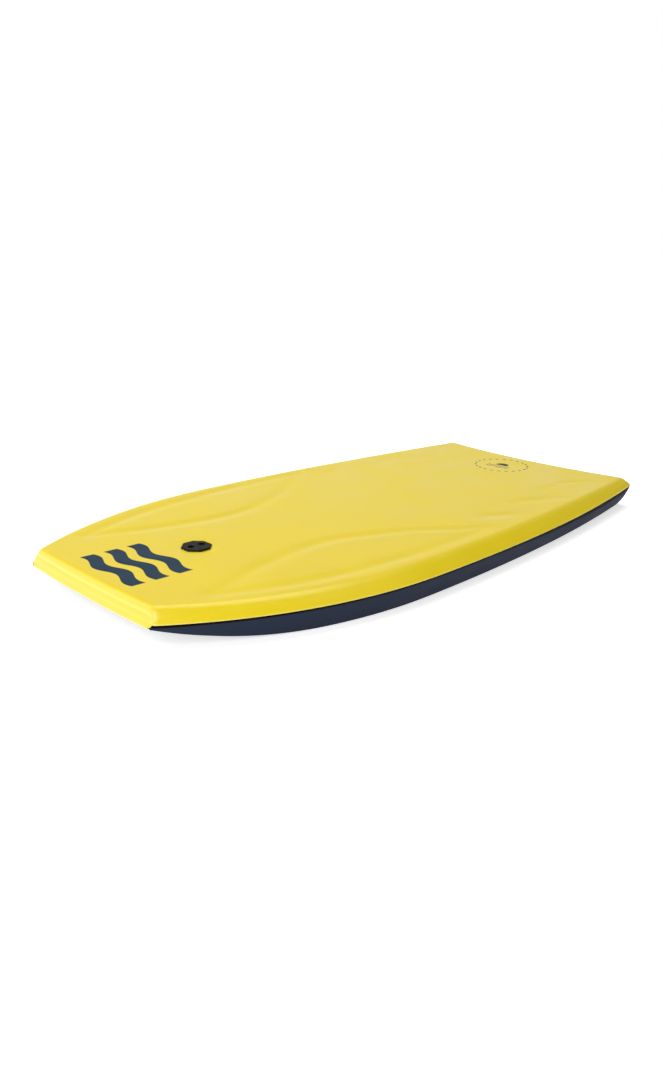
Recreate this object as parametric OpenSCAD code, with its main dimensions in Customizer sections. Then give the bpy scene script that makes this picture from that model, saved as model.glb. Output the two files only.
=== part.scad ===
// Bodyboard of the 42 inch class: a foam core wrapped in a foam deck skin, two-colour rails,
// a nose and a tail bumper, a reinforcing mesh and a slick bottom, with a stringer in the core
// and a leash plug that screws together through the board.
//
// The nose points to -Y, the deck faces +Z, and +X is the rider's left. The origin is the centre
// of the footprint on the ground. Every layer meets its neighbours along mitred edges.
//
// A place on the board is given by s, from 0 at the nose to 1 at the tail, and by t, from -1 at
// the right rail to 1 at the left rail. A depth of 0 is the outside and 1 is the core's surface.

/* [Outline] */
// Length from the nose corners to the tail corners
board_length = 1067; // [940:1:1180]
// Width at the nose
nose_width = 309; // [260:1:360]
// Greatest width
wide_width = 568; // [500:1:620]
// Width at the tail
tail_width = 458; // [400:1:500]
// Place of the greatest width, as a share of the length
wide_point = 0.383; // [0.33:0.001:0.45]
// How far the nose edge bows forward
nose_bow = 4.3; // [0:0.1:15]
// Depth of the crescent cut into the tail
tail_crescent = 21; // [0:1:40]

/* [Thickness] */
// Thickness over the flat stretch
thickness = 55.5; // [50:0.5:62]
// Height of the slick's front edge above the ground
nose_lift = 31.2; // [15:0.1:33]
// Rise of the deck at the nose
deck_lift = 2.2; // [0:0.1:6]
// Length of the raised stretch of the slick, as a share of the length
rocker_share = 0.215; // [0.18:0.005:0.3]

/* [Rails] */
// Width of the upper chine at mid length
chine_width = 23.4; // [18:0.1:28]
// Height of the upper chine at mid length
chine_height = 15.9; // [12:0.1:18]
// Run inwards of the lower rail for each millimetre that it falls
lower_rail_slope = 0.479; // [0.2:0.001:0.6]

/* [Layers] */
// Thickness of the deck skin
deck_skin_t = 5; // [3:0.5:6]
// Thickness of the rail strips
rail_t = 6; // [4:0.5:7]
// Thickness of the nose and tail bumpers
bumper_t = 6; // [4:0.5:10]
// Thickness of the slick
slick_t = 1.5; // [1:0.1:2]
// Thickness of the reinforcing mesh
mesh_t = 1; // [0.6:0.1:1.2]

/* [Stringer] */
// Outer diameter of the stringer tube
stringer_d = 12; // [9:0.5:14]
// Wall of the stringer tube
stringer_wall = 1.5; // [1:0.1:2]
// Distance from the nose corners to the stringer's front end
stringer_setback = 230; // [225:1:300]

/* [Leash plug] */
// Distance from the nose corners to the middle of the plug
plug_setback = 184; // [180:0.5:188]
// Offset of the plug from the centre line, towards the rider's right
plug_offset = 6.5; // [0:0.5:12]
// Width of the octagonal flange across its flats
plug_flange_w = 43.5; // [40:0.5:50]
// Diameter of each leash cord hole
cord_hole_d = 10.5; // [8:0.1:11]
// Distance between the centres of the two cord holes
cord_hole_pitch = 19; // [17:0.5:19.5]

/* [Hidden] */

// Resolution: stretches along the board, stretches across it, and sides of a round piece
STRETCHES = 40;
ACROSS = 12;
ROUND = 96;
// How far a cutter passes the face that it cuts
OVERRUN = 1;

// Colours
DECK_YELLOW = [0.94, 0.86, 0.33];
RAIL_YELLOW = [0.95, 0.83, 0.2];
NOSE_YELLOW = [0.98, 0.94, 0.42];
NAVY = [0.18, 0.21, 0.26];
SLICK_NAVY = [0.22, 0.27, 0.34];
NEAR_BLACK = [0.13, 0.13, 0.14];

// Corners of the cross-section
CREASE = 0; // deck to upper chine
APEX = 1;   // upper to lower rail
EDGE = 2;   // lower rail to slick

// Exponents of the outline ahead of and behind its widest point, and of the rocker
front_curve = 2.234;
rear_curve = 2.043;
rocker_curve = 2.584;

// The chine changes towards the nose and the tail
nose_chine_width = 9.9;
nose_chine_height = 20.8;
tail_chine_width = 14.8;
tail_chine_height = 11.5;
chine_front_share = 0.35;
chine_rear_start = 0.7;
chine_front_curve = 2.2;
chine_rear_curve = 1.7;

// The nose face leans: its top sits behind the corners and its foot ahead of them
deck_setback = 3.1;
slick_lead = 3.9;
lean_share = 0.065;

// The bow and the crescent fade out over this share of the length
end_share = 0.2;
end_curve = 2;
bow_curve = 2.45;

// Half the lead of the nose foot, which centres the footprint on the origin
centre_shift = (slick_lead + nose_bow) / 2;
bumper_share = bumper_t / board_length;
slick_depth = slick_t / (slick_t + mesh_t);

// Leash plug
plug_x = -plug_offset;
plug_y = plug_setback - board_length / 2 + centre_shift;
plug_barrel_r = 17;
plug_barrel_z = 12;
plug_seat_depth = 0.5;
plug_flange_t = 2.5;
plug_bevel = 1.3;
plug_seat_z = thickness - plug_seat_depth;
plug_top_z = plug_seat_z + plug_flange_t;
web_t = 6.5;
passage_h = 12;
passage_r = cord_hole_d / 2 + 1;
passage_z = plug_top_z - web_t - passage_h;
stem_r = 10;
stem_roof_t = 5;
stem_top_z = passage_z - stem_roof_t;
base_z = 1;
base_t = 3;
base_r = 22;
base_chamfer = 0.8;
coin_slot_l = 26;
coin_slot_w = 2.6;
coin_slot_depth = 1.4;
OCTAGON = 8;

// Stringer
stringer_z = 29;
stringer_r = stringer_d / 2;
stringer_front_y = stringer_setback - board_length / 2 + centre_shift;
front_cap_head_t = 10;
rear_cap_head_t = 20;
cap_spigot_t = 14;
bore_front_y = stringer_front_y - front_cap_head_t;
bore_rear_y = inner_point(CREASE, 1, 0)[1];
stringer_rear_y = bore_rear_y - rear_cap_head_t;

// ---- shape of the board ----

function above(v) = max(v, 0);

function half_width(s) =
    wide_width / 2
    - (wide_width - nose_width) / 2 * pow(above((wide_point - s) / wide_point), front_curve)
    - (wide_width - tail_width) / 2 * pow(above((s - wide_point) / (1 - wide_point)), rear_curve);

function nose_rise(s) = pow(above((rocker_share - s) / rocker_share), rocker_curve);

function slick_z(s) = nose_lift * nose_rise(s);

function deck_z(s) = thickness + deck_lift * nose_rise(s);

// A chine size that starts at nose, is mid over the middle and ends at tail
function chine_size(s, nose, mid, tail) =
    mid
    + (nose - mid) * pow(above(1 - s / chine_front_share), chine_front_curve)
    + (tail - mid) * pow(above((s - chine_rear_start) / (1 - chine_rear_start)), chine_rear_curve);

function chine_w(s) = chine_size(s, nose_chine_width, chine_width, tail_chine_width);

function chine_h(s) = chine_size(s, nose_chine_height, chine_height, tail_chine_height);

// Corners of the outer cross-section on the left side, as [x, z]
function corner(k, s) =
    let (apex = [half_width(s), deck_z(s) - chine_h(s)])
    k == CREASE ? [half_width(s) - chine_w(s), deck_z(s)]
    : k == APEX ? apex
    : [apex[0] - lower_rail_slope * (apex[1] - slick_z(s)), slick_z(s)];

// The point that lies at distance d1 inside a line with inward normal n1 and d2 inside one
// with inward normal n2, where p is the corner at which the two lines meet
function inset(p, n1, d1, n2, d2) =
    p + (d1 * [n2[1], -n2[0]] - d2 * [n1[1], -n1[0]]) / (n1[0] * n2[1] - n1[1] * n2[0]);

// Corners of the core's cross-section on the left side
function core_corner(k, s) =
    let (
        deck_in = [0, -1],
        chine_in = -[chine_h(s), chine_w(s)] / norm([chine_h(s), chine_w(s)]),
        lower_in = [-1, lower_rail_slope] / norm([1, lower_rail_slope]),
        slick_in = [0, 1]
    )
    k == CREASE ? inset(corner(k, s), deck_in, deck_skin_t, chine_in, rail_t)
    : k == APEX ? inset(corner(k, s), chine_in, rail_t, lower_in, rail_t)
    : inset(corner(k, s), lower_in, rail_t, slick_in, slick_t + mesh_t);

function lean(k) = k == CREASE ? deck_setback : k == EDGE ? -slick_lead : 0;

function corner_y(k, s) =
    (s - 0.5) * board_length + centre_shift + lean(k) * above(1 - s / lean_share);

// How far a point moves towards the nose for the bow of the nose and the crescent of the tail
function sweep(s, t) =
    nose_bow * (1 - pow(abs(t), bow_curve)) * pow(above(1 - s / end_share), end_curve)
    + tail_crescent * (1 - t * t) * pow(above(1 - (1 - s) / end_share), end_curve);

function outer_point(k, s, t) =
    let (c = corner(k, s))
    [t * c[0], corner_y(k, s) - sweep(s, t), c[1]];

function inner_point(k, s, t) =
    let (
        u = bumper_share + s * (1 - 2 * bumper_share),
        c = core_corner(k, u)
    )
    [t * c[0], corner_y(k, u) - sweep(u, t), c[1]];

function layer_point(k, s, t, depth) =
    outer_point(k, s, t) * (1 - depth) + inner_point(k, s, t) * depth;

// A row of points across the board from right to left (step 1) or back again (step -1)
function row(k, s, depth, step) =
    [for (i = [0 : ACROSS]) layer_point(k, s, step * (2 * i / ACROSS - 1), depth)];

// Closed rings of points around one cross-section of a layer, a rail or the whole body
function sheet_ring(k, s, top, bottom) = concat(row(k, s, top, 1), row(k, s, bottom, -1));

function rail_ring(upper, lower, s) = [
    layer_point(upper, s, 1, 1),
    layer_point(upper, s, 1, 0),
    layer_point(lower, s, 1, 0),
    layer_point(lower, s, 1, 1)
];

function body_ring(s, depth) = concat(
    [layer_point(APEX, s, -1, depth)],
    row(CREASE, s, depth, 1),
    [layer_point(APEX, s, 1, depth)],
    row(EDGE, s, depth, -1)
);

// ---- skinning rings into closed solids ----

// Two triangles that split a four-cornered face along its shorter diagonal
function split(p, a, b, c, d) =
    norm(p[a] - p[c]) <= norm(p[b] - p[d]) ? [[a, b, c], [a, c, d]] : [[a, b, d], [b, c, d]];

// Faces that close a ring of n points starting at index base. The top row has across + 1
// points, and sided is 1 where the ring also has a point out at each rail.
function cap(p, base, n, across, sided) =
    let (
        top = base + sided,
        bottom = base + n - 1,
        right = [base, top, bottom],
        left = [top + across + 1, bottom - across, top + across]
    )
    concat(
        [for (j = [0 : across - 1]) each split(p, top + j, top + j + 1, bottom - j - 1, bottom - j)],
        sided == 1 ? [right, left] : []
    );

function flip(faces) = [for (f = faces) [f[2], f[1], f[0]]];

module loft(rings, across, sided) {
    n = len(rings[0]);
    last = len(rings) - 1;
    points = [for (ring = rings) each ring];
    sides = [
        for (i = [0 : last - 1], j = [0 : n - 1])
            let (a = i * n + j, b = i * n + (j + 1) % n)
            each split(points, a, a + n, b + n, b)
    ];
    front = cap(points, 0, n, across, sided);
    back = flip(cap(points, last * n, n, across, sided));
    polyhedron(points, concat(sides, front, back));
}

module sheet(k, top, bottom)
    loft([for (i = [0 : STRETCHES]) sheet_ring(k, i / STRETCHES, top, bottom)], ACROSS, 0);

module rail(upper, lower)
    loft([for (i = [0 : STRETCHES]) rail_ring(upper, lower, i / STRETCHES)], 1, 0);

// ---- cutters for the pieces that pass through the layers ----

module at_plug(z)
    translate([plug_x, plug_y, z])
        children();

module barrel_cut()
    at_plug(0)
        cylinder(r = plug_barrel_r, h = 2 * thickness, $fn = ROUND);

module base_cut()
    at_plug(-base_t)
        cylinder(r = base_r, h = base_z + 2 * base_t, $fn = ROUND);

module octagon_prism(z, w1, w2, h)
    at_plug(z)
        rotate(180 / OCTAGON)
            cylinder(d1 = w1 / cos(180 / OCTAGON), d2 = w2 / cos(180 / OCTAGON), h = h, $fn = OCTAGON);

// A cylinder on the stringer's axis from y0 to y1
module along_stringer(r, y0, y1)
    translate([0, y0, stringer_z])
        rotate([-90, 0, 0])
            cylinder(r = r, h = y1 - y0, $fn = ROUND);

// ---- laminated layers ----

module core()
    color("whitesmoke")
        difference() {
            loft([for (i = [0 : STRETCHES]) body_ring(i / STRETCHES, 1)], ACROSS, 1);
            barrel_cut();
            base_cut();
            along_stringer(stringer_r, bore_front_y, bore_rear_y + bumper_t);
        }

module deck_skin()
    color(DECK_YELLOW)
        difference() {
            sheet(CREASE, 0, 1);
            barrel_cut();
            octagon_prism(plug_seat_z, plug_flange_w, plug_flange_w, plug_flange_t);
        }

module upper_rail_left()
    color(RAIL_YELLOW)
        rail(CREASE, APEX);

module upper_rail_right()
    mirror([1, 0, 0])
        upper_rail_left();

module lower_rail_left()
    color(NAVY)
        rail(APEX, EDGE);

module lower_rail_right()
    mirror([1, 0, 0])
        lower_rail_left();

module nose_bumper()
    color(NOSE_YELLOW)
        loft([body_ring(0, 0), body_ring(0, 1)], ACROSS, 1);

module tail_bumper()
    color(RAIL_YELLOW)
        loft([body_ring(1, 1), body_ring(1, 0)], ACROSS, 1);

module bottom_mesh()
    color("gray")
        difference() {
            sheet(EDGE, 1, slick_depth);
            base_cut();
        }

module slick()
    color(SLICK_NAVY)
        difference() {
            sheet(EDGE, slick_depth, 0);
            base_cut();
        }

// ---- stringer ----

module stringer_tube()
    color(NEAR_BLACK)
        difference() {
            along_stringer(stringer_r, stringer_front_y, stringer_rear_y);
            along_stringer(stringer_r - stringer_wall, stringer_front_y - OVERRUN,
                           stringer_rear_y + OVERRUN);
        }

module stringer_cap_front()
    color("dimgray")
        union() {
            along_stringer(stringer_r, bore_front_y, stringer_front_y);
            along_stringer(stringer_r - stringer_wall, stringer_front_y, stringer_front_y + cap_spigot_t);
        }

module stringer_cap_rear()
    color("dimgray")
        union() {
            along_stringer(stringer_r - stringer_wall, stringer_rear_y - cap_spigot_t, stringer_rear_y);
            along_stringer(stringer_r, stringer_rear_y, bore_rear_y);
        }

// ---- leash plug ----

// The leash cord goes down one hole, through the wider passage under the web and up the other
module cord_way()
    union() {
        for (side = [-1, 1])
            at_plug(passage_z)
                translate([0, side * cord_hole_pitch / 2, 0]) {
                    cylinder(d = cord_hole_d, h = 2 * passage_h + web_t, $fn = ROUND);
                    cylinder(r = passage_r, h = passage_h, $fn = ROUND);
                }
        at_plug(passage_z)
            translate([-passage_r, -cord_hole_pitch / 2, 0])
                cube([2 * passage_r, cord_hole_pitch, passage_h]);
    }

module leash_plug_top()
    color(NEAR_BLACK)
        difference() {
            union() {
                octagon_prism(plug_seat_z, plug_flange_w, plug_flange_w, plug_flange_t - plug_bevel);
                octagon_prism(plug_top_z - plug_bevel, plug_flange_w, plug_flange_w - 2 * plug_bevel,
                              plug_bevel);
                at_plug(plug_barrel_z)
                    cylinder(r = plug_barrel_r, h = plug_seat_z - plug_barrel_z, $fn = ROUND);
            }
            cord_way();
            at_plug(plug_barrel_z - OVERRUN)
                cylinder(r = stem_r, h = stem_top_z - plug_barrel_z + OVERRUN, $fn = ROUND);
        }

module leash_plug_bottom()
    color(NEAR_BLACK)
        difference() {
            union() {
                at_plug(base_z)
                    cylinder(r1 = base_r - base_chamfer, r2 = base_r, h = base_chamfer, $fn = ROUND);
                at_plug(base_z + base_chamfer)
                    cylinder(r = base_r, h = base_t - base_chamfer, $fn = ROUND);
                at_plug(base_z + base_t)
                    cylinder(r = stem_r, h = stem_top_z - base_z - base_t, $fn = ROUND);
            }
            at_plug(base_z)
                cube([coin_slot_l, coin_slot_w, 2 * coin_slot_depth], center = true);
        }

core();
deck_skin();
upper_rail_left();
upper_rail_right();
lower_rail_left();
lower_rail_right();
nose_bumper();
tail_bumper();
bottom_mesh();
slick();
stringer_tube();
stringer_cap_front();
stringer_cap_rear();
leash_plug_top();
leash_plug_bottom();
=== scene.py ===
"""Looks of the bodyboard: foam skins, rails, bumpers, slick and leash plug around the CAD frame.

The nose points to -Y, the deck faces +Z and +X is the rider's left. The shape is worked out in
millimetres with the same formulas as the CAD part, and turned into metres as meshes are made.
"""
import math

import bpy
import numpy as np
from mathutils import Matrix, Vector


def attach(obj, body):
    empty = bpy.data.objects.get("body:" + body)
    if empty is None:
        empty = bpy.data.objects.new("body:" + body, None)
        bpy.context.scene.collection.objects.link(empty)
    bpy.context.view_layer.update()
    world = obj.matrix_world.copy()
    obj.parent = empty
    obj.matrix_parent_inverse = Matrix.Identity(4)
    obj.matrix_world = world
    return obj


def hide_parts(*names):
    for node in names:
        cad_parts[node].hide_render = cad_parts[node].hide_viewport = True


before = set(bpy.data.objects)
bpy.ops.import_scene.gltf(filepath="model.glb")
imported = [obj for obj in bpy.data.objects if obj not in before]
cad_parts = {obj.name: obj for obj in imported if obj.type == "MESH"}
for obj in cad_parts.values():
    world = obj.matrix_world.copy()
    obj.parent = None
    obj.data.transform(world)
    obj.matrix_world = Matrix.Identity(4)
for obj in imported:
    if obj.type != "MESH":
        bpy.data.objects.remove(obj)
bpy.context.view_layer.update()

MM = 0.001

# ---- driving dimensions, as in the CAD part ----
LENGTH = 1067.0
HALF_NOSE, HALF_WIDE, HALF_TAIL = 154.5, 284.0, 229.0
WIDE_POINT = 0.383
THICKNESS = 55.5
NOSE_LIFT = 31.2
DECK_LIFT = 2.2
ROCKER_SHARE = 0.215
CHINE_WIDTH = (9.9, 23.4, 14.8)
CHINE_HEIGHT = (20.8, 15.9, 11.5)
RAIL_SLOPE = 0.479
FRONT_CURVE, REAR_CURVE, ROCKER_CURVE, BOW_CURVE = 2.234, 2.043, 2.584, 2.45
NOSE_BOW, TAIL_CRESCENT, END_SHARE = 4.3, 21.0, 0.2
DECK_SETBACK, SLICK_LEAD, LEAN_SHARE = 3.1, 3.9, 0.065
CENTRE_SHIFT = (SLICK_LEAD + NOSE_BOW) / 2
DECK_T, RAIL_T, BUMPER_T, SLICK_T, MESH_T = 5.0, 6.0, 6.0, 1.5, 1.0
PLUG_X, PLUG_Y = -6.5, 184.0 - LENGTH / 2 + CENTRE_SHIFT

# ---- soft edges of the foam ----
CREASE_R = 26.0
# How far the crease is rounded at the nose, as a share of that over the rest of the board
NOSE_CREASE_SHARE = 1.1
# How far the foam stands proud of its straight section: at the lip and over the lower rail
LIP_PROUD = 0.8
RAIL_PROUD = (1.2, 4.6)
# How far the upper rail swells between its edges: over most of the board and at its ends
CHINE_PROUD = (0.1, 0.8)
# Depth of the groove under the lip, at the nose and at the tail
SEAM_DEPTH = (1.2, 2.6)
# How far the cut edge of the yellow skin hangs below the apex, at the nose and at the tail
LIP_DROP = (0.3, 1.9)
# The groove between the rails opens over this length from each end
SEAM_ZONE = 6.0
# Radii at the nose and at the tail: of the deck and slick edges in side view, and of the
# crease, apex and slick corners in plan
NOSE_R = {"deck": 11.0, "slick": 1.5, "crease": 6.0, "apex": 1.2, "edge": 1.2}
TAIL_R = {"deck": 5.5, "slick": 2.5, "crease": 10.0, "apex": 0.6, "edge": 12.0}
END_ZONE = 24.0
# Tangent length of the crease per millimetre of its radius, and its greatest share of the chine
CREASE_TANGENT, CREASE_SHARE = 0.31, 0.42
# Tangent lengths of the rounded lip, of the top of the lower rail and of its foot, and the least
# that any of them keeps, so that no face is lost where the rounding fades out
LIP_TANGENT, TOP_TANGENT, FOOT_TANGENT, LEAST = 2.2, 0.9, 1.2, 0.04
# The slick's edge sits in a shallow groove: sideways and upwards
EDGE_DIP = (-0.45, 0.4)

# ---- resolution of the skin ----
DECK_STEPS = 44
ARC_STEPS = 8
CHINE_STEPS = 4
LIP_STEPS = 5
UNDER_STEPS = 2
LOWER_STEPS = 8
EDGE_STEPS = 4
STATION_STEP = 6.5
END_STEPS = 15


# ---------------------------------------------------------------- outer shape
def above(v):
    return np.maximum(v, 0.0)


def smooth(v):
    v = np.clip(v, 0, 1)
    return v * v * (3 - 2 * v)


def between(ends, v):
    """The first of two values where v is below 0, the second where it is above 1."""
    return ends[0] + (ends[1] - ends[0]) * smooth(v)


def half_width(s):
    front = (HALF_WIDE - HALF_NOSE) * above((WIDE_POINT - s) / WIDE_POINT) ** FRONT_CURVE
    rear = (HALF_WIDE - HALF_TAIL) * above((s - WIDE_POINT) / (1 - WIDE_POINT)) ** REAR_CURVE
    return HALF_WIDE - front - rear


def nose_rise(s):
    return above((ROCKER_SHARE - s) / ROCKER_SHARE) ** ROCKER_CURVE


def slick_z(s):
    return NOSE_LIFT * nose_rise(s)


def deck_z(s):
    return THICKNESS + DECK_LIFT * nose_rise(s)


def chine(s, sizes):
    nose, mid, tail = sizes
    towards_nose = (nose - mid) * above(1 - s / 0.35) ** 2.2
    towards_tail = (tail - mid) * above((s - 0.7) / 0.3) ** 1.7
    return mid + towards_nose + towards_tail


def inset(p, n1, d1, n2, d2):
    cross = n1[0] * n2[1] - n1[1] * n2[0]
    x = p[0] + (d1 * n2[1] - d2 * n1[1]) / cross
    z = p[1] + (d2 * n1[0] - d1 * n2[0]) / cross
    return x, z


def corners(s, cut_deck, cut_rail, cut_slick):
    """Crease, apex and edge of the section at s as (x, z), cut back by these depths."""
    cw, ch = chine(s, CHINE_WIDTH), chine(s, CHINE_HEIGHT)
    hw, top, low = half_width(s), deck_z(s), slick_z(s)
    size = np.hypot(cw, ch)
    slope = math.hypot(1, RAIL_SLOPE)
    one = np.ones_like(s)
    deck_in = (0 * one, -one)
    chine_in = (-ch / size, -cw / size)
    lower_in = (-one / slope, RAIL_SLOPE * one / slope)
    slick_in = (0 * one, one)
    crease = (hw - cw, top)
    apex = (hw, top - ch)
    edge = (hw - RAIL_SLOPE * (top - ch - low), low)
    return (
        inset(crease, deck_in, cut_deck, chine_in, cut_rail),
        inset(apex, chine_in, cut_rail, lower_in, cut_rail),
        inset(edge, lower_in, cut_rail, slick_in, cut_slick),
    )


def line_y(s, lean):
    return (s - 0.5) * LENGTH + CENTRE_SHIFT + lean * above(1 - s / LEAN_SHARE)


def sweep(s, t):
    bow = NOSE_BOW * (1 - np.abs(t) ** BOW_CURVE) * above(1 - s / END_SHARE) ** 2
    return bow + TAIL_CRESCENT * (1 - t * t) * above(1 - (1 - s) / END_SHARE) ** 2


def points(x, y, z):
    return np.stack([x, y, z], axis=-1)


def arc(start, corner, end, steps):
    """Round the corner between start and end; the points run along a new axis 1."""
    a, b = start - corner, end - corner
    la = np.linalg.norm(a, axis=-1)
    lb = np.linalg.norm(b, axis=-1)
    cos_angle = np.sum(a * b, axis=-1) / np.maximum(la * lb, 1e-9)
    weight = np.sqrt(np.clip((1 - cos_angle) / 2, 0.02, 1))[:, None, None]
    u = np.linspace(0, 1, steps + 1)[None, :, None]
    s, c, e = start[:, None], corner[:, None], end[:, None]
    top = (1 - u) ** 2 * s + 2 * weight * u * (1 - u) * c + u * u * e
    return top / ((1 - u) ** 2 + 2 * weight * u * (1 - u) + u * u)


def run(start, end, steps):
    u = np.linspace(0, 1, steps + 1)[None, :, None]
    return start[:, None] * (1 - u) + end[:, None] * u


def toward(p, q, distance):
    d = q - p
    return p + d * (distance / np.linalg.norm(d, axis=-1))[:, None]


def flat_row(s, corner, lean, t_end, steps):
    """Points of the deck or the slick from the centre line to t_end."""
    t = np.linspace(0, 1, steps + 1)[None, :] * t_end[:, None]
    x, z = corner
    y = line_y(s, lean)[:, None] - sweep(s[:, None], t)
    return points(t * x[:, None], y, z[:, None] + 0 * t)


def half_section(s, cut_deck, cut_rail, cut_slick, plan_cut, seam, rounding):
    """Half of each section, from the deck's centre line to the slick's.

    The cuts thin the section, plan_cut rounds its corners in plan, and seam and rounding, from 0
    to 1, open the groove under the lip and soften the edges.
    """
    crease, apex, edge = [
        (x - cut, z) for (x, z), cut in zip(corners(s, cut_deck, cut_rail, cut_slick), plan_cut)]
    c = points(crease[0], line_y(s, DECK_SETBACK), crease[1])
    a = points(apex[0], line_y(s, 0), apex[1])
    e = points(edge[0], line_y(s, -SLICK_LEAD), edge[1])
    upper = np.linalg.norm(a - c, axis=1)
    sharper = 1 - (1 - NOSE_CREASE_SHARE) * above(1 - s / END_SHARE)
    tangent = np.minimum(CREASE_R * CREASE_TANGENT * sharper, CREASE_SHARE * upper)
    tangent = tangent * rounding + LEAST / 2
    lip = LIP_TANGENT * rounding + LEAST
    foot = FOOT_TANGENT * rounding + LEAST
    deck = flat_row(s, crease, DECK_SETBACK, 1 - tangent / crease[0], DECK_STEPS)
    slick = flat_row(s, edge, -SLICK_LEAD, 1 - foot / edge[0], DECK_STEPS)[:, ::-1]
    inward = points(-np.ones_like(s), 0 * s, 0 * s)
    drop = between(LIP_DROP, (s - 0.15) / 0.7)
    down = points(0 * s, 0 * s, -drop * seam)
    depth = between(SEAM_DEPTH, (s - 0.3) / 0.5)
    notch = a + down + inward * (depth * seam)[:, None]
    sunk = inward * (0.3 * depth * seam)[:, None]
    proud = inward * (-LIP_PROUD * rounding)[:, None]
    hang = a + down + inward * (0.3 * seam)[:, None] + proud * 0.4
    crease_arc = arc(deck[:, -1], c, toward(c, a, tangent), ARC_STEPS)
    lip_start = toward(a, c, lip)
    lip_arc = arc(lip_start, a + proud, hang, LIP_STEPS)
    rail_start = toward(a, e, TOP_TANGENT * rounding + drop * seam + LEAST) + sunk
    rail_end = toward(e, a, foot)
    under = run(hang, notch, UNDER_STEPS)
    rail_corner = toward(a, e, 0.2 * rounding + drop * seam + LEAST / 2) + sunk
    back = arc(notch, rail_corner, rail_start, LIP_STEPS)
    hump = np.sin(math.pi * np.linspace(0, 1, LOWER_STEPS + 1) ** 0.85) ** 0.8
    belly = between(RAIL_PROUD, (s - 0.45) / 0.5)
    swell = -inward[:, None] * hump[None, :, None] * (belly * rounding)[:, None, None]
    edge_dip = np.array([EDGE_DIP[0], 0, EDGE_DIP[1]])
    edge_seam = e + edge_dip * (seam + 0.3 * rounding * (1 - seam))[:, None]
    edge_in = arc(rail_end, (e + edge_seam) / 2, edge_seam, EDGE_STEPS)
    edge_out = arc(edge_seam, (e + edge_seam) / 2, slick[:, 0], ARC_STEPS // 2)
    cw, ch = chine(s, CHINE_WIDTH), chine(s, CHINE_HEIGHT)
    plump = between(CHINE_PROUD, np.maximum(0.16 - s, s - 0.84) / 0.12) * rounding
    u = np.linspace(0, 1, CHINE_STEPS + 1)[None, :, None]
    chine_out = points(ch, 0 * s, cw) / np.hypot(cw, ch)[:, None]
    upper_rail = run(crease_arc[:, -1], lip_start, CHINE_STEPS)
    upper_rail = upper_rail + 4 * u * (1 - u) * (chine_out * plump[:, None])[:, None]
    parts = [
        deck, crease_arc[:, 1:], upper_rail[:, 1:],
        lip_arc[:, 1:], under[:, 1:], back[:, 1:],
        (run(rail_start, rail_end, LOWER_STEPS) + swell)[:, 1:],
        edge_in[:, 1:], edge_out[:, 1:], slick[:, 1:],
    ]
    return np.concatenate(parts, axis=1)


J_CREASE = DECK_STEPS + ARC_STEPS // 2
J_APEX = DECK_STEPS + ARC_STEPS + CHINE_STEPS + LIP_STEPS + UNDER_STEPS
J_EDGE = J_APEX + LIP_STEPS + LOWER_STEPS + EDGE_STEPS
J_END = J_EDGE + ARC_STEPS // 2 + DECK_STEPS
RING = 2 * J_END


def full_ring(half):
    """Both halves as one closed ring for each station."""
    mirror = half[:, 1:-1][:, ::-1] * np.array([-1, 1, 1])
    return np.concatenate([half, mirror], axis=1)


# ---------------------------------------------------------------- deck relief
# The arm contour on each side: places along the board, its inner and outer edge from the centre
LEAF_Y = np.array([-441, -396, -366, -331, -296, -246, -196, -156, -116, -81, -46, -6, 29, 64.0])
LEAF_IN = np.array([158, 142, 130, 120, 112, 103, 101, 107, 121, 136, 152, 180, 206, 226.0])
LEAF_OUT = np.array([158, 177, 189, 200, 209, 218, 223, 227, 229, 230, 231, 230, 229, 226.0])


def spline(x, xs, ys):
    """Smooth curve through given points."""
    slopes = np.gradient(ys, xs)
    i = np.clip(np.searchsorted(xs, x) - 1, 0, len(xs) - 2)
    h = xs[i + 1] - xs[i]
    u = np.clip((x - xs[i]) / h, 0, 1)
    h00, h10 = 2 * u**3 - 3 * u**2 + 1, u**3 - 2 * u**2 + u
    h01, h11 = -2 * u**3 + 3 * u**2, u**3 - u**2
    return h00 * ys[i] + h10 * h * slopes[i] + h01 * ys[i + 1] + h11 * h * slopes[i + 1]


def leaf_distance(x, y):
    """Distance inside the arm contour, negative outside it."""
    ax = np.abs(x)
    inner = spline(y, LEAF_Y, LEAF_IN)
    outer = spline(y, LEAF_Y, LEAF_OUT)
    ends = np.minimum(y - LEAF_Y[0], LEAF_Y[-1] - y)
    d = np.minimum((ax - inner) * 0.9, outer - ax)
    return np.where(ends < 0, np.minimum(d, ends), d)


def bar(x, y, x0, y0, x1, y1, width):
    """1 along a soft stroke between two points on each side of the board, 0 away from it."""
    ax = np.abs(x)
    dx, dy = x1 - x0, y1 - y0
    u = np.clip(((ax - x0) * dx + (y - y0) * dy) / (dx * dx + dy * dy), 0, 1)
    d = np.hypot(ax - x0 - u * dx, y - y0 - u * dy)
    return np.exp(-((d / width) ** 2)) * (0.35 + 0.65 * np.sin(np.pi * np.clip(u, 0.1, 0.9)))


# Depth of the arm contour behind and in front of the widest point, and its width
LEAF_DEPTH, LEAF_WIDTH = (1.05, 1.45), 11
# Strokes on the rear deck: depth, two points and width
BARS = (
    (1.1, (182, 95, 214, 165), 13), (1.1, (168, 215, 205, 305), 14),
    (0.77, (162, 320, 150, 400), 9), (0.77, (150, 400, 182, 455), 9),
)


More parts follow.
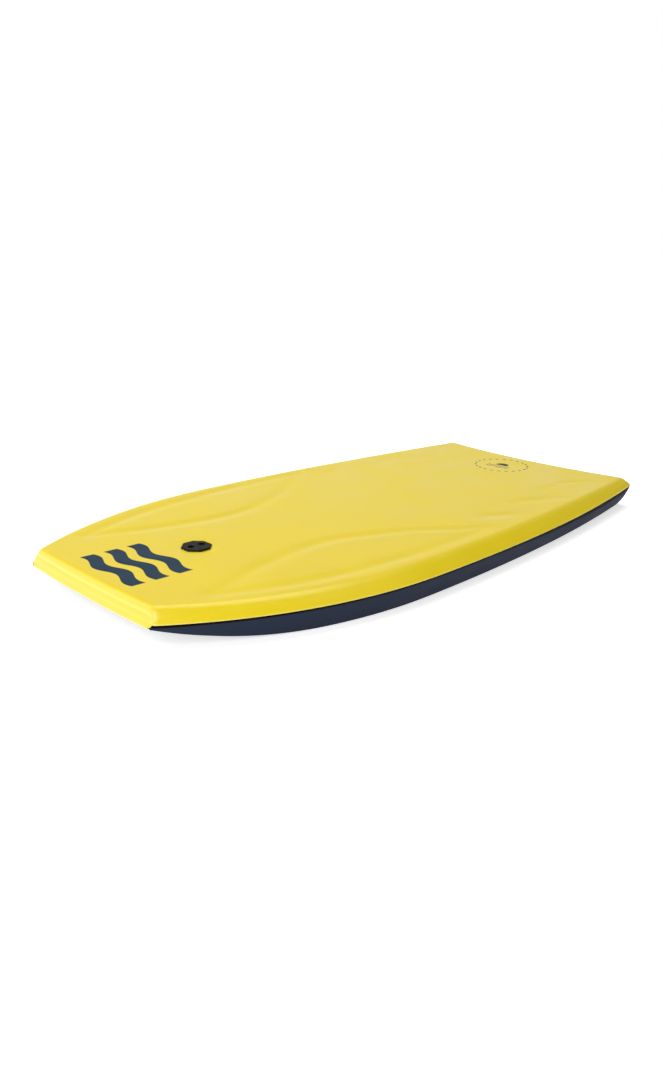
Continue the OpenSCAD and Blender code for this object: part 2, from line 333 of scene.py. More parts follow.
def relief(x, y):
    """Height added to the deck by its moulded contours and by the press fit of the plug."""
    depth = between(LEAF_DEPTH, (-40 - y) / 100)
    groove = depth * np.exp(-((leaf_distance(x, y) / LEAF_WIDTH) ** 2))
    strokes = sum(deep * bar(x, y, *ends, width) for deep, ends, width in BARS)
    r = np.hypot(x - PLUG_X, y - PLUG_Y)
    dimple = 0.9 * np.exp(-(((r - 23) / 7) ** 2)) * smooth((r - 12) / 10) + 0.5 * smooth((27 - r) / 8)
    return -groove - strokes - dimple


# ---------------------------------------------------------------- the whole skin
def end_offsets(radius, steps):
    u = np.linspace(0, 1, steps + 1)
    return radius * (1 - np.cos(u * math.pi / 2))


nose_e = end_offsets(END_ZONE, END_STEPS)
tail_e = nose_e[::-1]
middle_count = int((LENGTH - nose_e[-1] - tail_e[0]) / STATION_STEP)
middle = np.linspace(nose_e[-1], LENGTH - tail_e[0], middle_count + 1)
station = np.concatenate([nose_e, middle[1:-1], LENGTH - tail_e])
from_nose, from_tail = station, LENGTH - station
N_STATIONS = len(station)
I_NOSE = int(np.searchsorted(station, NOSE_R["deck"] * (1 - math.sqrt(0.5))))
I_TAIL = N_STATIONS - 1 - int(np.searchsorted(tail_e[::-1], TAIL_R["deck"] * (1 - math.sqrt(0.5))))


def rounding_cut(name):
    cut = np.zeros(N_STATIONS)
    for e, radii in ((from_nose, NOSE_R), (from_tail, TAIL_R)):
        r = radii[name]
        cut += r - np.sqrt(np.clip(r * r - np.clip(r - e, 0, r) ** 2, 0, None))
    return cut


cut_deck, cut_slick = rounding_cut("deck"), rounding_cut("slick")
plan_cut = [rounding_cut(n) for n in ("crease", "apex", "edge")]
NONE = np.zeros(N_STATIONS)
seam_on = smooth(np.minimum(from_nose, from_tail) / SEAM_ZONE)
outer_half = half_section(
    station / LENGTH, cut_deck, NONE, cut_slick, plan_cut, seam_on, np.ones(N_STATIONS))
outer = full_ring(outer_half)

# Moulded contours, faded out towards the crease and the ends
fade_side = smooth((DECK_STEPS - np.arange(J_END + 1)) / 3)
fade_side = np.concatenate([fade_side, fade_side[1:-1][::-1]])
fade_end = smooth((np.minimum(from_nose, from_tail) - 8) / 30)
outer[..., 2] += relief(outer[..., 0], outer[..., 1]) * fade_side * fade_end[:, None]


# The inside of the skin catches up with the outside over this length from each end
CATCH_UP = 40.0
front_half = from_nose < LENGTH / 2


def inner_station(e, first):
    """Distance of the inner section from an end: the first ones lie on the bumper's inner face."""
    rate = (CATCH_UP - BUMPER_T) / (CATCH_UP - first)
    return np.where(e >= CATCH_UP, e, BUMPER_T + above(e - first) * rate)


def extra_cut(cut):
    """What an end's rounding takes off a bumper's own section, and no more than that."""
    return above(cut - np.where(front_half, cut[I_NOSE], cut[I_TAIL]))


inner_e = np.where(
    front_half, inner_station(from_nose, station[I_NOSE]),
    LENGTH - inner_station(from_tail, LENGTH - station[I_TAIL]))
inner = full_ring(half_section(
    inner_e / LENGTH, DECK_T + extra_cut(cut_deck), RAIL_T + NONE,
    SLICK_T + MESH_T + extra_cut(cut_slick), plan_cut, NONE, np.full(N_STATIONS, 0.02)))


def coons(ring):
    """Fills the end of the board inside one ring with a grid, returned as rows from the deck down."""
    top = np.stack([ring[k % RING] for k in range(-J_CREASE, J_CREASE + 1)])
    bottom = np.stack([ring[k % RING] for k in range(-J_EDGE, J_EDGE - RING - 1, -1)])
    left = np.stack([ring[k] for k in range(J_CREASE, J_EDGE + 1)])
    right = np.stack([ring[-k] for k in range(J_CREASE, J_EDGE + 1)])
    u = np.linspace(0, 1, len(top))[None, :, None]
    v = np.cumsum(np.r_[0, np.linalg.norm(np.diff(left, axis=0), axis=1)])
    v = (v / v[-1])[:, None, None]
    corner = (1 - v) * ((1 - u) * top[0] + u * top[-1]) + v * ((1 - u) * bottom[0] + u * bottom[-1])
    sides = (1 - u) * right[:, None] + u * left[:, None] - corner
    # The lip of the rails only shows in the face near its two corners
    sides[..., 1] *= smooth((np.abs(2 * u[..., 0] - 1) - 0.75) / 0.25)
    return (1 - v) * top[None] + v * bottom[None] + sides


CAP_ROWS = J_EDGE - J_CREASE
CAP_COLS = 2 * J_CREASE
assert RING - 2 * J_EDGE == CAP_COLS


class Skin:
    """Outer and inner points of the whole skin, with the faces of each piece."""

    def __init__(self):
        self.outer = list(outer.reshape(-1, 3))
        self.inner = list(inner.reshape(-1, 3))
        self.faces = {}

    def add(self, out, inn):
        self.outer.append(np.asarray(out, float))
        self.inner.append(np.asarray(inn, float))
        return len(self.outer) - 1

    def face(self, piece, *loop):
        self.faces.setdefault(piece, []).append(loop)


def at(i, k):
    return i * RING + k % RING


skin = Skin()


def piece_of(i, k):
    """The piece that holds the cell from station i to i + 1 and ring place k to k + 1."""
    side = "left" if k < J_END else "right"
    j = k if k < J_END else RING - 1 - k
    if J_APEX <= j < J_EDGE:
        return "lower_rail_" + side
    if i < I_NOSE:
        return "nose_bumper"
    if i >= I_TAIL:
        return "tail_bumper"
    if j < J_CREASE:
        return "deck_skin"
    if j < J_APEX:
        return "upper_rail_" + side
    return "slick"


def window_cells(name, reach):
    """The block of cells around the leash plug, as station and ring ranges."""
    base = 0 if name == "deck_skin" else J_END
    i_mid = int(np.argmin(np.abs(outer[:, base, 1] - PLUG_Y)))
    near = range(base - DECK_STEPS, base + DECK_STEPS + 1)
    ks = [k for k in near if abs(outer[i_mid, k % RING, 0] - PLUG_X) <= reach]
    ii = [i for i in range(N_STATIONS) if abs(outer[i, base, 1] - PLUG_Y) <= reach]
    return min(ii), max(ii), min(ks), max(ks)


def plug_window(name, reach, radius, rings, height):
    """Replaces a block of cells by rings of cells around a round hole."""
    i0, i1, k0, k1 = window_cells(name, reach)
    loop = [(i0, k) for k in range(k0, k1)] + [(i, k1) for i in range(i0, i1)]
    loop += [(i1, k) for k in range(k1, k0, -1)] + [(i, k0) for i in range(i1, i0, -1)]
    edge = [at(*p) for p in loop]
    rows = [edge]
    for q in range(1, rings + 1):
        u = q / rings
        row = []
        for v in edge:
            out, inn = skin.outer[v], skin.inner[v]
            d = out[:2] - (PLUG_X, PLUG_Y)
            rim = np.array([PLUG_X, PLUG_Y]) + d * radius / np.hypot(*d)
            xy = out[:2] * (1 - u) + rim * u
            inner_xy = inn[:2] * (1 - u) + rim * u
            inner_z = inn[2] * (1 - u) + (height(*rim) + INNER_STEP[name]) * u
            row.append(skin.add((*xy, height(*xy)), (*inner_xy, inner_z)))
        rows.append(row)
    n = len(edge)
    for a, b in zip(rows, rows[1:]):
        for j in range(n):
            skin.face(name, a[j], a[(j + 1) % n], b[(j + 1) % n], b[j])
    return {(i, k % RING) for i in range(i0, i1) for k in range(k0, k1)}


INNER_STEP = {"deck_skin": -DECK_T, "slick": SLICK_T + MESH_T}


def share(y):
    return (y - CENTRE_SHIFT) / LENGTH + 0.5


def deck_height(x, y):
    return float(deck_z(share(y)) + relief(x, y))


def slick_height(x, y):
    return float(slick_z(share(y)))


# The plug's barrel passes through the deck skin, and its base lies in the slick
WINDOW_REACH, BARREL_R, BASE_R = 36, 18.0, 22.0
removed = plug_window("deck_skin", WINDOW_REACH, BARREL_R, 7, deck_height)
removed |= plug_window("slick", WINDOW_REACH, BASE_R, 5, slick_height)

for i in range(N_STATIONS - 1):
    for k in range(RING):
        if (i, k) in removed:
            continue
        skin.face(piece_of(i, k), at(i, k), at(i, k + 1), at(i + 1, k + 1), at(i + 1, k))


# How many cells the lower rails reach round each end corner, at the slick
CORNER_WRAP = 5


def end_cap(piece, i, flip):
    out, inn = coons(outer[i]), coons(inner[i])
    ids = np.zeros((CAP_ROWS + 1, CAP_COLS + 1), int)
    for r in range(CAP_ROWS + 1):
        for c in range(CAP_COLS + 1):
            if r == 0:
                ids[r, c] = at(i, c - J_CREASE)
            elif r == CAP_ROWS:
                ids[r, c] = at(i, -J_EDGE - c)
            elif c == 0:
                ids[r, c] = at(i, -J_CREASE - r)
            elif c == CAP_COLS:
                ids[r, c] = at(i, J_CREASE + r)
            else:
                ids[r, c] = skin.add(out[r, c], inn[r, c])
    apex_row = J_APEX - J_CREASE
    for r in range(CAP_ROWS):
        wrap = 1 + CORNER_WRAP * (r - apex_row) // (CAP_ROWS - apex_row) if r >= apex_row else 0
        for c in range(CAP_COLS):
            loop = (ids[r, c], ids[r + 1, c], ids[r + 1, c + 1], ids[r, c + 1])
            owner = piece
            if c < wrap:
                owner = "lower_rail_right"
            elif c >= CAP_COLS - wrap:
                owner = "lower_rail_left"
            skin.face(owner, *(reversed(loop) if flip else loop))


end_cap("nose_bumper", 0, False)
end_cap("tail_bumper", N_STATIONS - 1, True)

OUTER = np.array(skin.outer)
INNER = np.array(skin.inner)


# How much wider the painted shade and dark glue line under the lip is at the tail than at the nose
SEAM_SHADE_SPREAD = 1.5


def seam_distance():
    """Distance in millimetres along the section from the groove between the rails."""
    along = np.zeros((N_STATIONS, J_END + 1))
    along[:, 1:] = np.cumsum(np.linalg.norm(np.diff(outer_half, axis=1), axis=2), axis=1)
    half = np.abs(along - along[:, J_APEX:J_APEX + 1])
    # On the navy side the distance shrinks towards the tail, so the painted shade under the lip
    # widens there
    wider = 1 + SEAM_SHADE_SPREAD * smooth((station / LENGTH - 0.35) / 0.6)
    half[:, J_APEX:] /= wider[:, None]
    ring = np.concatenate([half, half[:, 1:-1][:, ::-1]], axis=1).ravel()
    return np.concatenate([ring, np.full(len(OUTER) - len(ring), ring.max())])


SEAM_MM = seam_distance()
SLICK_INNER = OUTER + (INNER - OUTER) * (SLICK_T / (SLICK_T + MESH_T))

# Pieces of one colour share their normals, so the joints between them don't show
GROUPS = {
    "yellow": ["deck_skin", "upper_rail_left", "upper_rail_right", "nose_bumper", "tail_bumper"],
    "navy_left": ["lower_rail_left"],
    "navy_right": ["lower_rail_right"],
    "slick": ["slick"],
}


def group_normals(faces):
    """Area-weighted normals at the points of these faces."""
    quads = np.array(faces)
    p = OUTER[quads]
    n = np.cross(p[:, 2] - p[:, 0], p[:, 3] - p[:, 1])
    total = np.zeros_like(OUTER)
    for c in range(4):
        np.add.at(total, quads[:, c], n)
    size = np.linalg.norm(total, axis=1, keepdims=True)
    return total / np.maximum(size, 1e-12)


def shell(name, faces, normals, inner_points):
    """A closed solid: the outer faces, the inner faces and walls around every open edge."""
    used = sorted({v for f in faces for v in f})
    place = {v: n for n, v in enumerate(used)}
    count = len(used)
    verts = np.concatenate([OUTER[used], inner_points[used]]) * MM
    edges = {}
    for f in faces:
        for a, b in zip(f, f[1:] + f[:1]):
            edges[(a, b)] = edges.get((a, b), 0) + 1
    rim = [(a, b) for a, b in edges if (b, a) not in edges]
    loops, shades = [], []
    for f in faces:
        loops.append([place[v] for v in f])
        shades.extend(normals[v] for v in f)
    for f in faces:
        loops.append([place[v] + count for v in reversed(f)])
        shades.extend(-normals[v] for v in reversed(f))
    for a, b in rim:
        loops.append([place[b], place[a], place[a] + count, place[b] + count])
        q = verts[loops[-1]]
        n = np.cross(q[2] - q[0], q[3] - q[1])
        shades.extend([n / max(np.linalg.norm(n), 1e-12)] * 4)
    mesh = bpy.data.meshes.new(name)
    mesh.from_pydata(verts.tolist(), [], loops)
    mesh.update()
    seam = mesh.attributes.new("seam_mm", "FLOAT", "POINT")
    seam.data.foreach_set("value", np.tile(SEAM_MM[used], 2))
    mesh.polygons.foreach_set("use_smooth", [True] * len(mesh.polygons))
    mesh.normals_split_custom_set([Vector(n) for n in shades])
    obj = bpy.data.objects.new(name, mesh)
    bpy.context.scene.collection.objects.link(obj)
    return obj


# ---------------------------------------------------------------- materials
def new_material(name):
    mat = bpy.data.materials.new(name)
    mat.use_nodes = True
    nodes = mat.node_tree.nodes
    return mat, mat.node_tree, nodes["Principled BSDF"]


def link(tree, a, b):
    tree.links.new(a, b)


def add_node(tree, kind, **values):
    node = tree.nodes.new(kind)
    for key, value in values.items():
        setattr(node, key, value)
    return node


def math_node(tree, op, a, b=None, clamp=False):
    node = add_node(tree, "ShaderNodeMath", operation=op, use_clamp=clamp)
    for socket, value in zip(node.inputs, (a, b)):
        if value is None:
            continue
        if isinstance(value, (int, float)):
            socket.default_value = value
        else:
            link(tree, value, socket)
    return node.outputs[0]


def noise(tree, coords, scale, detail=2.0, roughness=0.5):
    node = add_node(tree, "ShaderNodeTexNoise")
    node.inputs["Scale"].default_value = scale
    node.inputs["Detail"].default_value = detail
    node.inputs["Roughness"].default_value = roughness
    link(tree, coords, node.inputs["Vector"])
    return node.outputs["Fac"]


def mix_colour(tree, factor, a, b):
    node = add_node(tree, "ShaderNodeMix", data_type="RGBA")
    for socket, value in ((node.inputs[0], factor), (node.inputs[6], a), (node.inputs[7], b)):
        if isinstance(value, (int, float)):
            socket.default_value = value
        elif isinstance(value, tuple):
            socket.default_value = (*value, 1.0)
        else:
            link(tree, value, socket)
    return node.outputs[2]


def bump(tree, height, distance, strength=1.0):
    node = add_node(tree, "ShaderNodeBump")
    node.inputs["Distance"].default_value = distance
    node.inputs["Strength"].default_value = strength
    link(tree, height, node.inputs["Height"])
    return node.outputs["Normal"]


YELLOW = (0.90, 0.69, 0.014)
NAVY = (0.020, 0.027, 0.048)
PRINT = (0.0, 0.027, 0.060)
# How much rougher the printed ink is than the foam, and how much of it the badge has
PRINT_MATT, BADGE_INK = 0.45, 0.95
# Wavy bands: centre, length and width of one, distance between them, height and length of a wave
BAND_PLACE = (-2.0, -453.0)
BAND_SIZE = (143.0, 22.0)
BAND_COUNT, BAND_PITCH = 3, 38.0
BAND_WAVE = (5.5, 78.0)
# Badge: centre, ring radius and half its line, number of dashes, sun, and the two waves below it
BADGE_PLACE = (-7.0, 434.0)
BADGE_R, BADGE_LINE, BADGE_DASHES = 53.0, 1.6, 22.0
SUN_R, SUN_UP, SUN_CUT = 13.0, 2.0, -2.0
RIPPLE_DOWN, RIPPLE_APART, RIPPLE_LINE, RIPPLE_REACH = 14.0, 4.5, 1.3, 26.0
RIPPLE_HEIGHT, RIPPLE_RATE = 2.2, 0.28


def painted(tree, distance, softness=0.7):
    """1 where the signed distance in millimetres is below 0, with a soft edge."""
    return math_node(tree, "SUBTRACT", 0.5, math_node(tree, "DIVIDE", distance, softness), clamp=True)


def plan_mm(tree, coords, place):
    """x and y in millimetres from a place on the deck."""
    split = add_node(tree, "ShaderNodeSeparateXYZ")
    link(tree, coords, split.inputs[0])
    return [
        math_node(tree, "SUBTRACT", math_node(tree, "DIVIDE", split.outputs[n], MM), place[n])
        for n in (0, 1)]


def beyond(tree, value, reach):
    """How far a value lies outside -reach..reach."""
    return math_node(tree, "SUBTRACT", math_node(tree, "ABSOLUTE", value), reach)


def from_centre(tree, x, y):
    squares = [math_node(tree, "MULTIPLY", v, v) for v in (x, y)]
    return math_node(tree, "SQRT", math_node(tree, "ADD", *squares))


def ripple(tree, x, rate, height):
    phase = math_node(tree, "MULTIPLY", x, rate)
    return math_node(tree, "MULTIPLY", math_node(tree, "SINE", phase), height)


def wave_bands(tree, coords):
    """Three parallel wavy bands across the nose."""
    x, y = plan_mm(tree, coords, BAND_PLACE)
    height, length = BAND_WAVE
    y = math_node(tree, "SUBTRACT", y, ripple(tree, x, 2 * math.pi / length, height))
    # The shift by whole bands keeps the folded value positive all over the deck
    row = math_node(tree, "PINGPONG", math_node(tree, "ADD", y, 20.5 * BAND_PITCH), BAND_PITCH / 2)
    row = math_node(tree, "SUBTRACT", BAND_PITCH / 2, row)
    across = math_node(tree, "SUBTRACT", row, BAND_SIZE[1] / 2)
    outside = beyond(tree, y, BAND_COUNT * BAND_PITCH / 2)
    along = beyond(tree, x, BAND_SIZE[0] / 2)
    shape = math_node(tree, "MAXIMUM", math_node(tree, "MAXIMUM", across, outside), along)
    return painted(tree, shape)


def badge(tree, coords):
    """A thin dashed ring around a low sun over two waves, at the tail."""
    x, y = plan_mm(tree, coords, BADGE_PLACE)
    line = beyond(tree, math_node(tree, "SUBTRACT", from_centre(tree, x, y), BADGE_R), BADGE_LINE)
    angle = math_node(tree, "ARCTAN2", x, y)
    dash = math_node(tree, "SUBTRACT", 0.15, ripple(tree, angle, BADGE_DASHES, 1.0))
    ring = math_node(tree, "MAXIMUM", line, math_node(tree, "MULTIPLY", dash, 4.0))
    sun_y = math_node(tree, "SUBTRACT", y, SUN_UP)
    sun = math_node(tree, "SUBTRACT", from_centre(tree, x, sun_y), SUN_R)
    sun = math_node(tree, "MAXIMUM", sun, math_node(tree, "SUBTRACT", SUN_CUT, y))
    level = math_node(tree, "ADD", y, ripple(tree, x, RIPPLE_RATE, RIPPLE_HEIGHT))
    level = math_node(tree, "ABSOLUTE", math_node(tree, "ADD", level, RIPPLE_DOWN))
    waves = beyond(tree, math_node(tree, "SUBTRACT", level, RIPPLE_APART), RIPPLE_LINE)
    waves = math_node(tree, "MAXIMUM", waves, beyond(tree, x, RIPPLE_REACH))
    shape = math_node(tree, "MINIMUM", ring, math_node(tree, "MINIMUM", sun, waves))
    return math_node(tree, "MULTIPLY", painted(tree, shape, 1.2), BADGE_INK)


def deck_print(tree, coords):
    return math_node(tree, "MAXIMUM", wave_bands(tree, coords), badge(tree, coords))


def ramp(tree, value, low, high, to_low=0.0, to_high=1.0):
    """Maps low..high to to_low..to_high with soft ends."""
    node = add_node(tree, "ShaderNodeMapRange", interpolation_type="SMOOTHSTEP")
    ends = {"From Min": low, "From Max": high, "To Min": to_low, "To Max": to_high}
    for name, number in ends.items():
        node.inputs[name].default_value = number
    link(tree, value, node.inputs["Value"])
    return node.outputs[0]


def stretched(tree, coords, scale):
    """Coordinates scaled by a different number along each axis."""
    node = add_node(tree, "ShaderNodeMapping")
    node.inputs["Scale"].default_value = scale
    link(tree, coords, node.inputs["Vector"])
    return node.outputs[0]


def cells(tree, coords, scale, feature="F1"):
    node = add_node(tree, "ShaderNodeTexVoronoi", feature=feature)
    node.inputs["Scale"].default_value = scale
    link(tree, coords, node.inputs["Vector"])
    return node.outputs["Distance"]


def finish(tree, shader, colour, rough, height, distance, gloss):
    link(tree, colour, shader.inputs["Base Color"])
    link(tree, rough, shader.inputs["Roughness"])
    link(tree, bump(tree, height, distance), shader.inputs["Normal"])
    shader.inputs["Specular IOR Level"].default_value = gloss


def shade(colour, factor):
    return tuple(c * factor for c in colour)


def seam_mm(tree):
    return add_node(tree, "ShaderNodeAttribute", attribute_name="seam_mm").outputs["Fac"]


def foam(name, colour, roughness, gloss, seam_painted_colour, seam_painted_width, extra=None):
    """Skinned closed-cell foam: fine cells, faint mottling, and colour painted along the rail seam: a
    painted highlight on the yellow lip, painted shade with a dark glue line on the navy rail.

    extra gives a changed base colour, and where the surface is more matt, if anywhere.
    """
    mat, tree, shader = new_material(name)
    coords = add_node(tree, "ShaderNodeTexCoord").outputs["Object"]
    mottle = noise(tree, coords, MOTTLE_SCALE, 3.0)
    flecks = noise(tree, coords, FLECK_SCALE, 2.0)
    base = mix_colour(tree, mottle, shade(colour, 0.95), shade(colour, 1.02))
    base = mix_colour(tree, ramp(tree, flecks, 0.55, 0.75, 0.0, 0.35), base, shade(colour, 0.86))
    matt = None
    if extra is not None:
        base, matt = extra(tree, coords, base)
    # Colour painted along the rail seam: a painted highlight on the yellow lip, painted shade and a
    # dark glue line on the navy rail
    edge = ramp(tree, seam_mm(tree), seam_painted_width[0], seam_painted_width[1], 1.0, 0.0)
    base = mix_colour(tree, edge, base, seam_painted_colour)
    rough = ramp(tree, mottle, 0.3, 0.7, roughness - 0.04, roughness + 0.05)
    if matt is not None:
        rough = math_node(tree, "ADD", rough, math_node(tree, "MULTIPLY", matt, PRINT_MATT))
    skin_cells = math_node(tree, "ADD", cells(tree, coords, CELL_SCALE), flecks)
    finish(tree, shader, base, rough, skin_cells, FOAM_RELIEF, gloss)
    return mat


def printed(tree, coords, base):
    ink = deck_print(tree, coords)
    return mix_colour(tree, ink, base, PRINT), ink


def painted_front_highlight(tree, coords, base):
    """The nose strip is painted paler where it turns to face forwards: a painted highlight over its
    rounded top edge and its face.
    """
    split = add_node(tree, "ShaderNodeSeparateXYZ")
    link(tree, add_node(tree, "ShaderNodeNewGeometry").outputs["Normal"], split.inputs[0])
    downward = math_node(tree, "MAXIMUM", math_node(tree, "MULTIPLY", split.outputs["Z"], -1.0), 0.0)
    forward = math_node(tree, "SUBTRACT", split.outputs["Y"], downward)
    return mix_colour(tree, ramp(tree, forward, -0.2, -0.6), base, NOSE_PAINTED_HIGHLIGHT), None


def hard_skin(name, colour):
    """The slick: smooth, with a fine lengthwise grain and a few long scuffs."""
    mat, tree, shader = new_material(name)
    coords = add_node(tree, "ShaderNodeTexCoord").outputs["Object"]
    grain = noise(tree, stretched(tree, coords, (900, 12, 900)), 1.0, 2.0)
    scuffs = ramp(tree, noise(tree, stretched(tree, coords, (260, 4, 260)), 1.0, 3.0), 0.62, 0.72)
    mottle = noise(tree, coords, 7.0, 2.0)
    base = mix_colour(tree, mottle, shade(colour, 0.9), shade(colour, 1.12))
    base = mix_colour(tree, math_node(tree, "MULTIPLY", scuffs, 0.3), base, shade(colour, 2.2))
    rough = ramp(tree, mottle, 0.3, 0.7, 0.2, 0.27)
    rough = math_node(tree, "ADD", rough, math_node(tree, "MULTIPLY", scuffs, 0.15))
    finish(tree, shader, base, rough, grain, 0.00004, 0.5)
    return mat


def moulded(name, colour, roughness):
    """Moulded plastic: spark-eroded grain, with edges rubbed a little lighter."""
    mat, tree, shader = new_material(name)
    coords = add_node(tree, "ShaderNodeTexCoord").outputs["Object"]
    bevel = add_node(tree, "ShaderNodeBevel", samples=4)
    bevel.inputs["Radius"].default_value = 0.7 * MM
    same = add_node(tree, "ShaderNodeVectorMath", operation="DOT_PRODUCT")
    link(tree, bevel.outputs[0], same.inputs[0])
    link(tree, add_node(tree, "ShaderNodeNewGeometry").outputs["Normal"], same.inputs[1])
    patches = noise(tree, coords, 160.0, 3.0)
    bent = ramp(tree, same.outputs["Value"], 0.99, 0.85)
    worn = math_node(tree, "MULTIPLY", bent, ramp(tree, patches, 0.35, 0.65))
    base = mix_colour(tree, patches, shade(colour, 0.8), shade(colour, 1.25))
    base = mix_colour(tree, math_node(tree, "MULTIPLY", worn, 0.5), base, shade(colour, 5))
    grain = noise(tree, coords, 2600.0, 2.0)
    rough = ramp(tree, patches, 0.3, 0.7, roughness - 0.05, roughness + 0.06)
    finish(tree, shader, base, rough, grain, 0.00005, 0.15)
    return mat


def beaded(name, colour):
    """Core foam: expanded beads with slightly darker boundaries."""
    mat, tree, shader = new_material(name)
    coords = add_node(tree, "ShaderNodeTexCoord").outputs["Object"]
    gap = cells(tree, coords, 260.0, "DISTANCE_TO_EDGE")
    base = mix_colour(tree, ramp(tree, gap, 0.0, 0.12), shade(colour, 0.8), colour)
    rough = ramp(tree, noise(tree, coords, 40.0), 0.3, 0.7, 0.6, 0.75)
    finish(tree, shader, base, rough, gap, 0.0003, 0.3)
    return mat


def netting(name, colour):
    """Reinforcing mesh: crossing strands 6 mm apart in a glue film."""
    mat, tree, shader = new_material(name)
    coords = add_node(tree, "ShaderNodeTexCoord").outputs["Object"]
    x, y = plan_mm(tree, coords, (0.0, 0.0))
    folded = [math_node(tree, "PINGPONG", v, NET_PITCH / 2) for v in (x, y)]
    strands = [math_node(tree, "SUBTRACT", v, NET_STRAND) for v in folded]
    on = painted(tree, math_node(tree, "MINIMUM", *strands), 0.4)
    base = mix_colour(tree, on, shade(colour, 0.55), colour)
    rough = ramp(tree, noise(tree, coords, 300.0), 0.3, 0.7, 0.5, 0.65)
    finish(tree, shader, base, rough, on, 0.0003, 0.4)
    return mat


def carbon(name, colour):
    """Pultruded tube: fibres along its length under a clear resin."""
    mat, tree, shader = new_material(name)
    coords = add_node(tree, "ShaderNodeTexCoord").outputs["Object"]
    fibres = noise(tree, stretched(tree, coords, (2200, 40, 2200)), 1.0, 2.0)
    base = mix_colour(tree, fibres, shade(colour, 0.5), shade(colour, 2.4))
    finish(tree, shader, base, ramp(tree, fibres, 0.3, 0.7, 0.25, 0.38), fibres, 0.00003, 0.5)
    shader.inputs["Coat Weight"].default_value = 0.4
    return mat


# Texture sizes: mottling, flecks and cells per metre, depth of the foam's skin texture in metres
MOTTLE_SCALE, FLECK_SCALE, CELL_SCALE, FOAM_RELIEF = 14.0, 420.0, 1100.0, 0.00006
NET_PITCH, NET_STRAND = 6.0, 0.6
# Paler yellow painted on the nose strip where it faces forwards: a painted highlight
NOSE_PAINTED_HIGHLIGHT = (0.85, 0.71, 0.085)
# Pale yellow painted along the lip above the seam: a painted highlight on the lip's rounding
LIP_PAINTED_HIGHLIGHT = (0.93, 0.80, 0.16)
# Near-black painted along the top of the navy rail under the lip: painted shade in the groove, with a
# dark glue line
SEAM_PAINTED_SHADE = (0.003, 0.003, 0.003)
# Colours painted along the seam, and the distances in millimetres from the groove over which they
# fade out
YELLOW_LIP_PAINTED_HIGHLIGHT = (LIP_PAINTED_HIGHLIGHT, (1.6, 3.4))
NAVY_SEAM_PAINTED_SHADE = (SEAM_PAINTED_SHADE, (3.0, 5.0))

# The yellow skins carry the painted highlight along the lip
deck_foam = foam("deck_foam", YELLOW, 0.33, 0.5, *YELLOW_LIP_PAINTED_HIGHLIGHT)
printed_deck = foam("printed_deck", YELLOW, 0.33, 0.5, *YELLOW_LIP_PAINTED_HIGHLIGHT, printed)
# The nose strip gets a painted highlight where it faces forwards
nose_foam_painted_highlight = foam("nose_foam_painted_highlight", YELLOW, 0.33, 0.5, *YELLOW_LIP_PAINTED_HIGHLIGHT, painted_front_highlight)
# The navy rails carry the painted shade and dark glue line under the lip
rail_foam = foam("rail_foam", NAVY, 0.6, 0.04, *NAVY_SEAM_PAINTED_SHADE)
slick_skin = hard_skin("slick_skin", (0.018, 0.026, 0.042))
plug_plastic = moulded("plug_plastic", (0.008, 0.006, 0.005), 0.5)
cap_plastic = moulded("cap_plastic", (0.05, 0.05, 0.05), 0.5)
core_foam = beaded("core_foam", (0.8, 0.8, 0.78))
stringer_carbon = carbon("stringer_carbon", (0.01, 0.01, 0.011))
mesh_net = netting("mesh_net", (0.5, 0.5, 0.5))

LOOK = {
    "deck_skin": ("deck_foam", printed_deck), "upper_rail_left": ("deck_foam", deck_foam),
    "upper_rail_right": ("deck_foam", deck_foam), "nose_bumper": ("deck_foam", nose_foam_painted_highlight),
    "tail_bumper": ("deck_foam", deck_foam), "lower_rail_left": ("rail_foam", rail_foam),
    "lower_rail_right": ("rail_foam", rail_foam), "slick": ("slick_skin", slick_skin),
}

for names in GROUPS.values():
    normals = group_normals([f for n in names for f in skin.faces[n]])
    for name in names:
        inner_points = SLICK_INNER if name == "slick" else INNER
        obj = shell(name + "_foam", skin.faces[name], normals, inner_points)
        slot, mat = LOOK[name]
        obj.data.materials.append(mat)
        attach(obj, "root")
        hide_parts(name)


def soften_edges(obj):
    """Moulded edges: flat faces are merged, then every sharp edge gets a small radius."""
    flat = obj.modifiers.new("flat", "DECIMATE")
    flat.decimate_type = "DISSOLVE"
    flat.angle_limit = math.radians(1.5)
    edge = obj.modifiers.new("edge", "BEVEL")
    edge.width = 0.35 * MM
    edge.segments = 3
    edge.limit_method = "ANGLE"
    edge.angle_limit = math.radians(28)
    edge.harden_normals = True


for node, mat in (
    ("core", core_foam), ("bottom_mesh", mesh_net), ("stringer_tube", stringer_carbon),
    ("stringer_cap_front", cap_plastic), ("stringer_cap_rear", cap_plastic),
    ("leash_plug_top", plug_plastic), ("leash_plug_bottom", plug_plastic),
):
    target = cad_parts[node]
    target.data.materials.clear()
    target.data.materials.append(mat)
    if mat in (plug_plastic, cap_plastic):
        soften_edges(target)

# ---------------------------------------------------------------- stage, light and camera
FLOOR = 60.0
# The floor's own glow, from near the board to far from it, and those two distances
FLOOR_GLOW, GLOW_REACH = (0.66, 1.1), (0.7, 2.6)


